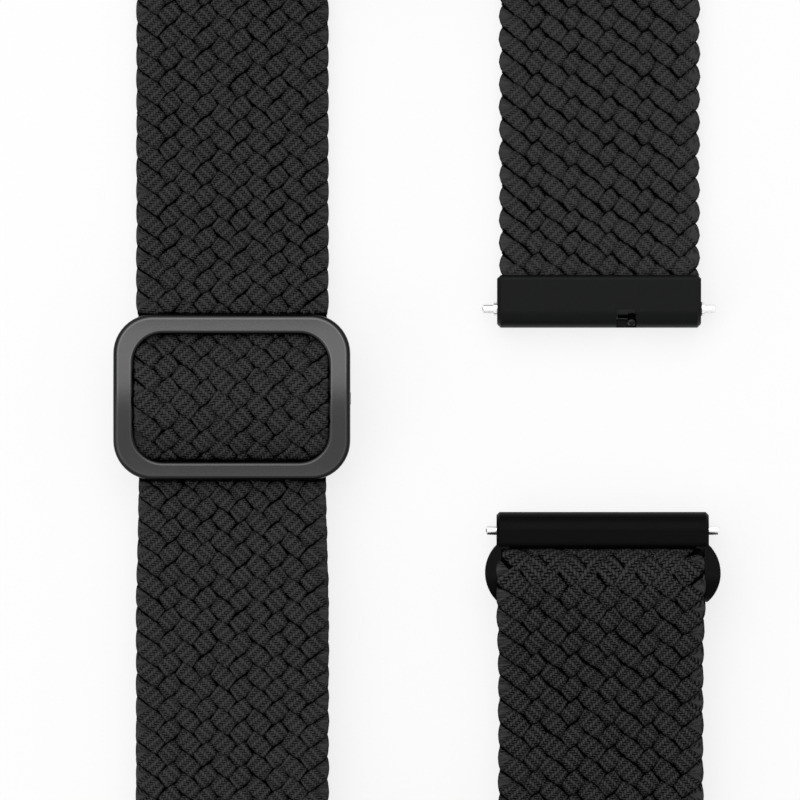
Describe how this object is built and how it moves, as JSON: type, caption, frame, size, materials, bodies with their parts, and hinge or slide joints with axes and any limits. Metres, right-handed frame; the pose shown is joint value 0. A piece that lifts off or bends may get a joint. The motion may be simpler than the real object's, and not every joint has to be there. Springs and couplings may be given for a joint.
{
  "type": "braided elastic watch strap",
  "caption": "Adjustable braided elastic watch strap laid down as an open C, with a slider, a fixed end cap and a loop connector on quick-release spring bars.",
  "frame": {"origin": "on the floor, under the middle of the whole strap's outline", "axes": "+Y up the two columns towards the single-layer turn, +X across from the slider's column to the column with the two ends, +Z away from the floor, out of the strap's face"},
  "size_m": [0.0512, 0.118, 0.0176],
  "materials": {
    "braid": "matte braided yarn",
    "slider_metal": "satin dark grey",
    "end_metal": "satin black",
    "bar_steel": "turned steel"
  },
  "bodies": {
    "band": {"top_turn": "braid", "upper_run": "braid", "lower_run": "braid", "lower_tail": "braid", "bottom_turn_outer": "braid", "bottom_turn_inner": "braid", "loop_run": "braid", "loop_tail": "braid"},
    "slider": {"slider_hump": "braid", "tail_fold": "braid", "slider_frame": "slider_metal", "slider_pin": "slider_metal"},
    "cap_end": {"cap_run": "braid", "cap_housing": "end_metal", "cap_bar_tube": "bar_steel", "cap_bar_fixed_tip": "bar_steel", "cap_bar_spring": "bar_steel"},
    "cap_plunger": {"cap_bar_sliding_tip": "bar_steel", "cap_release_lever": "bar_steel"},
    "loop_end": {"bight": "braid"},
    "connector": {"loop_connector": "end_metal", "loop_bar_tube": "bar_steel", "loop_bar_fixed_tip": "bar_steel", "loop_bar_spring": "bar_steel"},
    "loop_plunger": {"loop_bar_sliding_tip": "bar_steel", "loop_release_lever": "bar_steel"}
  },
  "joints": [
    {"name": "slider_slide", "type": "slide", "parent": "band", "child": "slider", "axis": [0, 1, 0], "range_m": [-0.006, 0.006], "deforming": ["upper_run", "lower_run", "lower_tail"]},
    {"name": "loop_slide", "type": "slide", "parent": "band", "child": "loop_end", "axis": [0, 1, 0], "range_m": [-0.003, 0.003], "deforming": ["loop_run", "loop_tail"]},
    {"name": "connector_hinge", "type": "hinge", "parent": "loop_end", "child": "connector", "pos_m": [0.01566, -0.01448, 0.0027], "axis": [1, 0, 0], "range_deg": [-30, 60]},
    {"name": "band_stretch", "type": "slide", "parent": "band", "child": "cap_end", "axis": [0, -1, 0], "range_m": [0, 0.006], "stiffness_N_per_m": 400, "deforming": ["cap_run"]},
    {"name": "cap_pin_release", "type": "slide", "parent": "cap_end", "child": "cap_plunger", "axis": [-1, 0, 0], "range_m": [0, 0.0009], "stiffness_N_per_m": 600, "springref_m": -0.001, "deforming": ["cap_bar_spring"]},
    {"name": "loop_pin_release", "type": "slide", "parent": "connector", "child": "loop_plunger", "axis": [-1, 0, 0], "range_m": [0, 0.0009], "stiffness_N_per_m": 600, "springref_m": -0.001, "deforming": ["loop_bar_spring"]}
  ],
  "couplings": [
    {"joint": "loop_slide", "follows": "slider_slide", "ratio": -0.5}
  ]
}
